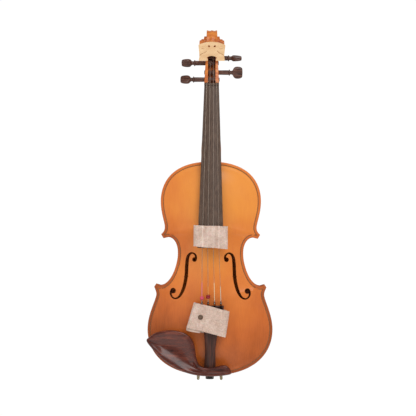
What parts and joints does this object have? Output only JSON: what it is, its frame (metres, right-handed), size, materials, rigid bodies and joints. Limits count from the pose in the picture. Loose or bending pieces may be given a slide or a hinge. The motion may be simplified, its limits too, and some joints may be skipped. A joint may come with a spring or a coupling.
{
  "type": "violin",
  "caption": "Full-size violin with its bridge laid over the pegbox, slack strings, chinrest, and foam sheets round the fingerboard's end and the tailpiece.",
  "frame": {"origin": "centre of the end button's outer flat face", "axes": "+Z along the violin from the end button to the scroll, -Y out of the front where the strings are, +X to the treble side"},
  "size_m": [0.2086, 0.0877, 0.5842],
  "materials": {
    "varnished_spruce": "glossy amber varnish",
    "varnished_maple": "glossy amber-brown varnish",
    "bare_spruce": "raw",
    "purfling": "varnished dark inlay",
    "fingerboard_wood": "satin",
    "ebony": "satin",
    "rosewood": "polished",
    "bridge_maple": "raw, scraped",
    "string_metal": "wound",
    "string_silk": "lapped thread",
    "black_metal": "gloss black",
    "clamp_brass": "polished",
    "cork": "cork",
    "foam": "matte closed-cell foam sheet",
    "snap_brown": "gloss",
    "bead_pink": "gloss",
    "bead_red": "gloss",
    "gut_nylon": "satin"
  },
  "bodies": {
    "violin": {"back_plate": "varnished_maple", "back_purfling": "purfling", "bass_bar": "bare_spruce", "bead_d": "bead_red", "bead_g": "bead_pink", "chinrest": "rosewood", "chinrest_clamp_top": "clamp_brass", "chinrest_cork_bass": "cork", "chinrest_cork_treble": "cork", "corner_block_lower_bass": "bare_spruce", "corner_block_lower_treble": "bare_spruce", "corner_block_upper_bass": "bare_spruce", "corner_block_upper_treble": "bare_spruce", "end_block": "bare_spruce", "end_button": "ebony", "fingerboard": "fingerboard_wood", "neck": "varnished_maple", "neck_block": "bare_spruce", "neck_wrap": "foam", "nut": "ebony", "rib_lower_bass": "varnished_maple", "rib_lower_treble": "varnished_maple", "rib_upper_bass": "varnished_maple", "rib_upper_treble": "varnished_maple", "rib_waist_bass": "varnished_maple", "rib_waist_treble": "varnished_maple", "saddle": "ebony", "sound_post": "bare_spruce", "string_a": "string_metal", "string_d": "string_metal", "string_e": "string_metal", "string_g": "string_metal", "tail_gut": "gut_nylon", "tail_wrap_rear": "foam", "tailpiece": "rosewood", "top_plate": "varnished_spruce", "top_purfling_bass": "purfling", "top_purfling_treble": "purfling"},
    "peg_g_body": {"peg_g": "rosewood", "winding_g": "string_silk"},
    "peg_d_body": {"peg_d": "rosewood", "winding_d": "string_silk"},
    "peg_a_body": {"peg_a": "rosewood", "winding_a": "string_silk"},
    "peg_e_body": {"peg_e": "rosewood", "winding_e": "string_silk"},
    "tuner_screw_g_body": {"tuner_screw_g": "black_metal"},
    "tuner_screw_d_body": {"tuner_screw_d": "black_metal"},
    "tuner_screw_a_body": {"tuner_screw_a": "black_metal"},
    "tuner_screw_e_body": {"tuner_screw_e": "black_metal"},
    "tuner_lever_g_body": {"tuner_lever_g": "black_metal"},
    "tuner_lever_d_body": {"tuner_lever_d": "black_metal"},
    "tuner_lever_a_body": {"tuner_lever_a": "black_metal"},
    "tuner_lever_e_body": {"tuner_lever_e": "black_metal"},
    "barrel_bass_body": {"chinrest_barrel_bass": "clamp_brass"},
    "barrel_treble_body": {"chinrest_barrel_treble": "clamp_brass"},
    "clamp_foot_body": {"chinrest_clamp_foot": "clamp_brass"},
    "bridge_body": {"bridge": "bridge_maple"},
    "tail_flap_body": {"tail_wrap_flap": "foam", "snap_cap": "snap_brown"}
  },
  "joints": [
    {"name": "peg_g_turn", "type": "hinge", "parent": "violin", "child": "peg_g_body", "pos_m": [0, -0.0045, 0.5008], "axis": [1, 0, 0], "continuous": true},
    {"name": "peg_d_turn", "type": "hinge", "parent": "violin", "child": "peg_d_body", "pos_m": [0, 0.0045, 0.5291], "axis": [1, 0, 0], "continuous": true},
    {"name": "peg_a_turn", "type": "hinge", "parent": "violin", "child": "peg_a_body", "pos_m": [0, 0.0089, 0.538], "axis": [1, 0, 0], "continuous": true},
    {"name": "peg_e_turn", "type": "hinge", "parent": "violin", "child": "peg_e_body", "pos_m": [0, -0.001, 0.5131], "axis": [1, 0, 0], "continuous": true},
    {"name": "tuner_screw_g_turn", "type": "hinge", "parent": "violin", "child": "tuner_screw_g_body", "pos_m": [-0.01384, -0.04394, 0.105], "axis": [0, -1, 0], "range_deg": [0, 1440]},
    {"name": "tuner_lever_g_tilt", "type": "hinge", "parent": "violin", "child": "tuner_lever_g_body", "pos_m": [-0.01384, -0.04134, 0.119], "axis": [1, 0, 0], "range_deg": [0, 5]},
    {"name": "tuner_screw_d_turn", "type": "hinge", "parent": "violin", "child": "tuner_screw_d_body", "pos_m": [-0.00334, -0.04559, 0.105], "axis": [0, -1, 0], "range_deg": [0, 1440]},
    {"name": "tuner_lever_d_tilt", "type": "hinge", "parent": "violin", "child": "tuner_lever_d_body", "pos_m": [-0.00334, -0.04299, 0.119], "axis": [1, 0, 0], "range_deg": [0, 5]},
    {"name": "tuner_screw_a_turn", "type": "hinge", "parent": "violin", "child": "tuner_screw_a_body", "pos_m": [0.00716, -0.04561, 0.105], "axis": [0, -1, 0], "range_deg": [0, 1440]},
    {"name": "tuner_lever_a_tilt", "type": "hinge", "parent": "violin", "child": "tuner_lever_a_body", "pos_m": [0.00716, -0.04301, 0.119], "axis": [1, 0, 0], "range_deg": [0, 5]},
    {"name": "tuner_screw_e_turn", "type": "hinge", "parent": "violin", "child": "tuner_screw_e_body", "pos_m": [0.01766, -0.04399, 0.105], "axis": [0, -1, 0], "range_deg": [0, 1440]},
    {"name": "tuner_lever_e_tilt", "type": "hinge", "parent": "violin", "child": "tuner_lever_e_body", "pos_m": [0.01766, -0.04139, 0.119], "axis": [1, 0, 0], "range_deg": [0, 5]},
    {"name": "barrel_bass_turn", "type": "hinge", "parent": "violin", "child": "barrel_bass_body", "pos_m": [-0.019, -0.0032, 0.0046], "axis": [0, 1, 0], "range_deg": [0, 1080]},
    {"name": "barrel_treble_turn", "type": "hinge", "parent": "violin", "child": "barrel_treble_body", "pos_m": [0.019, -0.0032, 0.0046], "axis": [0, 1, 0], "range_deg": [0, 1080]},
    {"name": "clamp_foot_slide", "type": "slide", "parent": "violin", "child": "clamp_foot_body", "axis": [0, 1, 0], "range_m": [0, 0.003]},
    {"name": "bridge_lift_off", "type": "slide", "parent": "violin", "child": "bridge_body", "axis": [0, -1, 0], "range_m": [0, 0.06]},
    {"name": "tail_flap_open", "type": "hinge", "parent": "violin", "child": "tail_flap_body", "pos_m": [0.02614, -0.03666, 0.09498], "axis": [0.2419, 0, 0.9703], "range_deg": [0, 150]}
  ],
  "couplings": [
    {"joint": "tuner_lever_g_tilt", "follows": "tuner_screw_g_turn", "ratio": 0.0034719},
    {"joint": "tuner_lever_d_tilt", "follows": "tuner_screw_d_turn", "ratio": 0.0034719},
    {"joint": "tuner_lever_a_tilt", "follows": "tuner_screw_a_turn", "ratio": 0.0034719},
    {"joint": "tuner_lever_e_tilt", "follows": "tuner_screw_e_turn", "ratio": 0.0034719},
    {"joint": "barrel_bass_turn", "follows": "clamp_foot_slide", "rad_per_m": 6282.6},
    {"joint": "barrel_treble_turn", "follows": "clamp_foot_slide", "rad_per_m": 6282.6}
  ]
}
